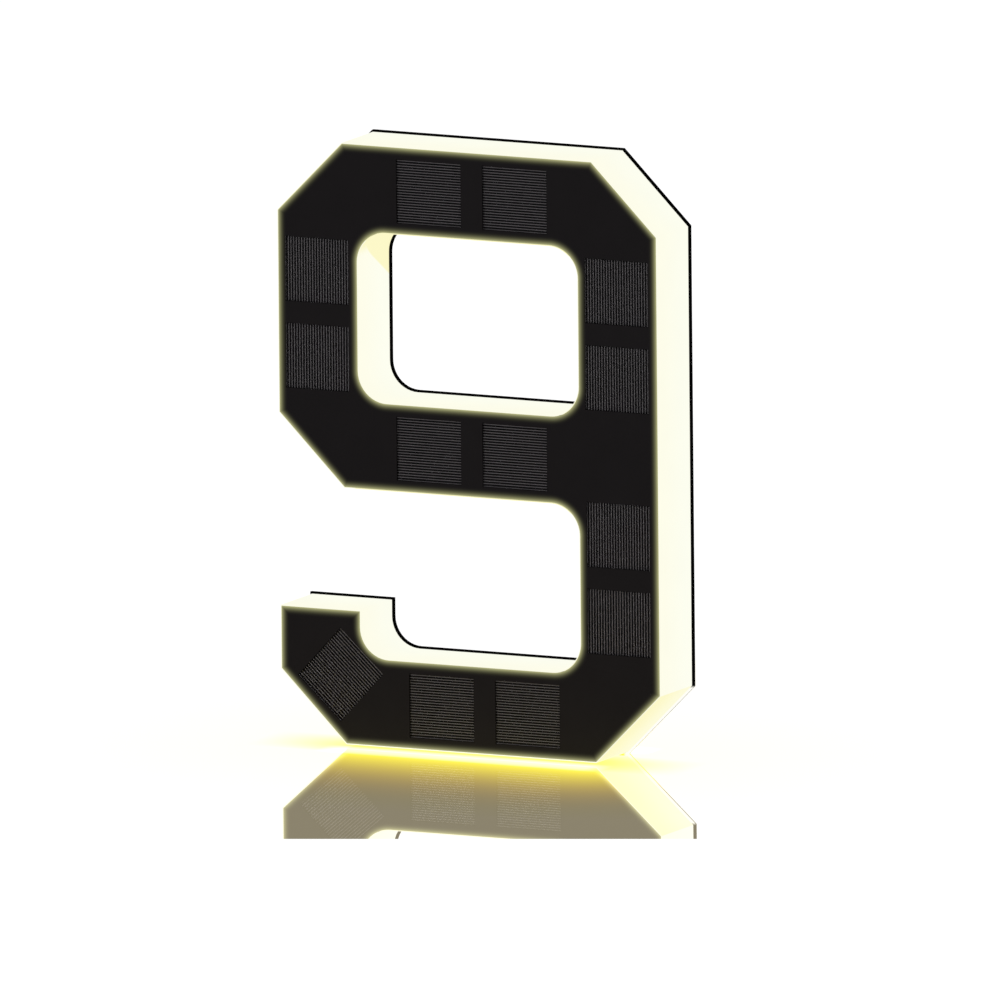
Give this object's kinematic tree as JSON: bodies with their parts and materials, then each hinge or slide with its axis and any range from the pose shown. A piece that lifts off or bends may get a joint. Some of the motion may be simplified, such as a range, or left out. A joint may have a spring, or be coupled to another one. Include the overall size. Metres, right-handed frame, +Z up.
{
  "type": "illuminated house number sign",
  "caption": "Figure nine wall number with a solar front, a milky body that glows at its sides and a black back plate with keyholes and a push button.",
  "frame": {"origin": "on the ground, under the middle of the width and the depth", "axes": "+X to the reader's right, -Y out of the dark front towards the reader, +Y into the wall, +Z up"},
  "size_m": [0.0834, 0.0152, 0.12],
  "materials": {
    "milky_body": "translucent, lit warm white from inside",
    "black_shell": "fine moulded texture",
    "clear_cover": "clear, satin",
    "solar_board": "black solder mask",
    "solar_cell": "dark silicon with fine printed lines",
    "seal": "smooth",
    "steel_screw": "zinc plated",
    "white_board": "white solder mask",
    "led": "white case, yellow phosphor window",
    "battery_foil": "laminated foil",
    "foam_tape": "closed-cell foam",
    "connector": "moulded nylon",
    "red_wire": "smooth insulation",
    "black_wire": "smooth insulation",
    "chip": "moulded epoxy",
    "ferrite": "ferrite",
    "capacitor_can": "drawn can",
    "switch_shell": "moulded",
    "switch_plunger": "moulded",
    "button_rubber": "satin silicone"
  },
  "bodies": {
    "housing": {"back_plate": "black_shell", "battery": "battery_foil", "battery_connector": "connector", "battery_tape": "foam_tape", "battery_wire_black": "black_wire", "battery_wire_red": "red_wire", "board_screws": "steel_screw", "boost_inductor": "ferrite", "charge_controller": "chip", "cover_screws": "steel_screw", "front_cover": "clear_cover", "led_board": "white_board", "led_bottom_1": "led", "led_bottom_2": "led", "led_bottom_3": "led", "led_bottom_4": "led", "led_lower_right_1": "led", "led_lower_right_2": "led", "led_middle_1": "led", "led_middle_2": "led", "led_middle_3": "led", "led_middle_4": "led", "led_tail_1": "led", "led_top_1": "led", "led_top_2": "led", "led_top_3": "led", "led_top_4": "led", "led_upper_left_1": "led", "led_upper_left_2": "led", "led_upper_right_1": "led", "led_upper_right_2": "led", "light_body": "milky_body", "panel_wire_black": "black_wire", "panel_wire_red": "red_wire", "seal_counter": "seal", "seal_outer": "seal", "sense_resistors": "chip", "solar_board": "solar_board", "solar_cell_bottom_left": "solar_cell", "solar_cell_bottom_right": "solar_cell", "solar_cell_lower_right_high": "solar_cell", "solar_cell_lower_right_low": "solar_cell", "solar_cell_middle_left": "solar_cell", "solar_cell_middle_right": "solar_cell", "solar_cell_tail": "solar_cell", "solar_cell_top_left": "solar_cell", "solar_cell_top_right": "solar_cell", "solar_cell_upper_left_high": "solar_cell", "solar_cell_upper_left_low": "solar_cell", "solar_cell_upper_right_high": "solar_cell", "solar_cell_upper_right_low": "solar_cell", "storage_capacitor": "capacitor_can", "switch_body": "switch_shell"},
    "button": {"power_button": "button_rubber", "switch_plunger": "switch_plunger"}
  },
  "joints": [
    {"name": "button_press", "type": "slide", "parent": "housing", "child": "button", "axis": [0, -1, 0], "range_m": [0, 0.001], "stiffness_N_per_m": 1200, "springref_m": -0.0004}
  ]
}
